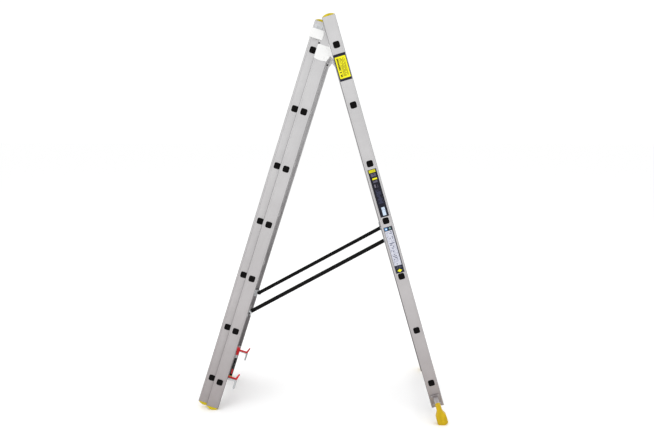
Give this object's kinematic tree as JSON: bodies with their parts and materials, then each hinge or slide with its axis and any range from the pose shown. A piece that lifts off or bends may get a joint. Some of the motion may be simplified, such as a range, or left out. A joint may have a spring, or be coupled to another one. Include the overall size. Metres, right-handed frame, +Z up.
{
  "type": "multi position ladder",
  "caption": "Aluminium combination ladder of nested sections, open as a stepladder with stay bars, rung hooks and a footed stabiliser bar.",
  "frame": {"origin": "centre of the bounding box, on the floor that the open ladder stands on", "axes": "+Z up, rungs along Y, base section towards +X and middle and top sections towards -X"},
  "size_m": [1.2338, 0.686, 1.9171],
  "materials": {
    "aluminium": "satin extruded aluminium",
    "zinc_plated_steel": "zinc plated",
    "white_coated_steel": "white powder coat",
    "yellow_plastic": "moulded",
    "black_coated_steel": "black powder coat",
    "red_plastic": "moulded"
  },
  "bodies": {
    "base_section": {"base_rung_1": "aluminium", "base_rung_2": "aluminium", "base_rung_3": "aluminium", "base_rung_4": "aluminium", "base_rung_5": "aluminium", "base_rung_6": "aluminium", "base_rung_7": "aluminium", "base_stile_far": "aluminium", "base_stile_near": "aluminium", "base_top_cap_far": "yellow_plastic", "base_top_cap_near": "yellow_plastic", "stabiliser_bar": "aluminium", "stabiliser_collar_far": "zinc_plated_steel", "stabiliser_collar_near": "zinc_plated_steel", "stabiliser_foot_far": "yellow_plastic", "stabiliser_foot_near": "yellow_plastic", "hinge_bracket_far": "white_coated_steel", "hinge_bracket_near": "white_coated_steel", "stay_pivot_far": "zinc_plated_steel", "stay_pivot_near": "zinc_plated_steel"},
    "middle_section": {"middle_bottom_cap_far": "yellow_plastic", "middle_bottom_cap_near": "yellow_plastic", "middle_rung_1": "aluminium", "middle_rung_2": "aluminium", "middle_rung_3": "aluminium", "middle_rung_4": "aluminium", "middle_rung_5": "aluminium", "middle_rung_6": "aluminium", "middle_rung_7": "aluminium", "middle_stile_far": "aluminium", "middle_stile_near": "aluminium", "middle_top_cap_far": "yellow_plastic", "middle_top_cap_near": "yellow_plastic", "hinge_plate_far": "white_coated_steel", "hinge_plate_near": "white_coated_steel", "guide_bracket_far": "white_coated_steel", "guide_bracket_near": "white_coated_steel", "stay_cleat_far": "zinc_plated_steel", "stay_cleat_near": "zinc_plated_steel", "rung_hook_far": "zinc_plated_steel", "rung_hook_near": "zinc_plated_steel"},
    "top_section": {"top_bottom_cap_far": "yellow_plastic", "top_bottom_cap_near": "yellow_plastic", "top_rung_1": "aluminium", "top_rung_2": "aluminium", "top_rung_3": "aluminium", "top_rung_4": "aluminium", "top_rung_5": "aluminium", "top_rung_6": "aluminium", "top_rung_7": "aluminium", "top_stile_far": "aluminium", "top_stile_near": "aluminium", "top_top_cap_far": "yellow_plastic", "top_top_cap_near": "yellow_plastic"},
    "near_stay_bar": {"stay_bar_near": "black_coated_steel"},
    "far_stay_bar": {"stay_bar_far": "black_coated_steel"},
    "near_hook_lever": {"hook_lever_near": "red_plastic"},
    "far_hook_lever": {"hook_lever_far": "red_plastic"},
    "near_rung_pawl": {"rung_pawl_near": "zinc_plated_steel"},
    "far_rung_pawl": {"rung_pawl_far": "zinc_plated_steel"}
  },
  "joints": [
    {"name": "main_fold", "type": "hinge", "parent": "base_section", "child": "middle_section", "pos_m": [0.04962, 0, 1.73917], "axis": [0, -1, 0], "range_deg": [0, 33]},
    {"name": "top_slide", "type": "slide", "parent": "middle_section", "child": "top_section", "axis": [0.3059, 0, 0.9521], "range_m": [0, 1.12]},
    {"name": "near_stay_swing", "type": "hinge", "parent": "base_section", "child": "near_stay_bar", "pos_m": [0.31558, -0.1705, 0.86903], "axis": [0, -1, 0], "range_deg": [0, 77.5]},
    {"name": "far_stay_swing", "type": "hinge", "parent": "base_section", "child": "far_stay_bar", "pos_m": [0.31558, 0.1705, 0.86903], "axis": [0, -1, 0], "range_deg": [0, 77.5]},
    {"name": "near_hook_release", "type": "hinge", "parent": "middle_section", "child": "near_hook_lever", "pos_m": [-0.48189, -0.18035, 0.17624], "axis": [0, -1, 0], "range_deg": [0, 25], "stiffness_Nm_per_rad": 0.06, "springref_deg": -14.32},
    {"name": "far_hook_release", "type": "hinge", "parent": "middle_section", "child": "far_hook_lever", "pos_m": [-0.48189, 0.18035, 0.17624], "axis": [0, -1, 0], "range_deg": [0, 25], "stiffness_Nm_per_rad": 0.06, "springref_deg": -14.32},
    {"name": "near_pawl_turn", "type": "hinge", "parent": "top_section", "child": "near_rung_pawl", "pos_m": [-0.51713, -0.1624, 0.17443], "axis": [0, 1, 0], "range_deg": [0, 90]},
    {"name": "far_pawl_turn", "type": "hinge", "parent": "top_section", "child": "far_rung_pawl", "pos_m": [-0.51713, 0.1624, 0.17443], "axis": [0, 1, 0], "range_deg": [0, 90]}
  ],
  "couplings": [
    {"joint": "near_stay_swing", "follows": "main_fold", "ratio": 2.3411},
    {"joint": "far_stay_swing", "follows": "main_fold", "ratio": 2.3411}
  ]
}
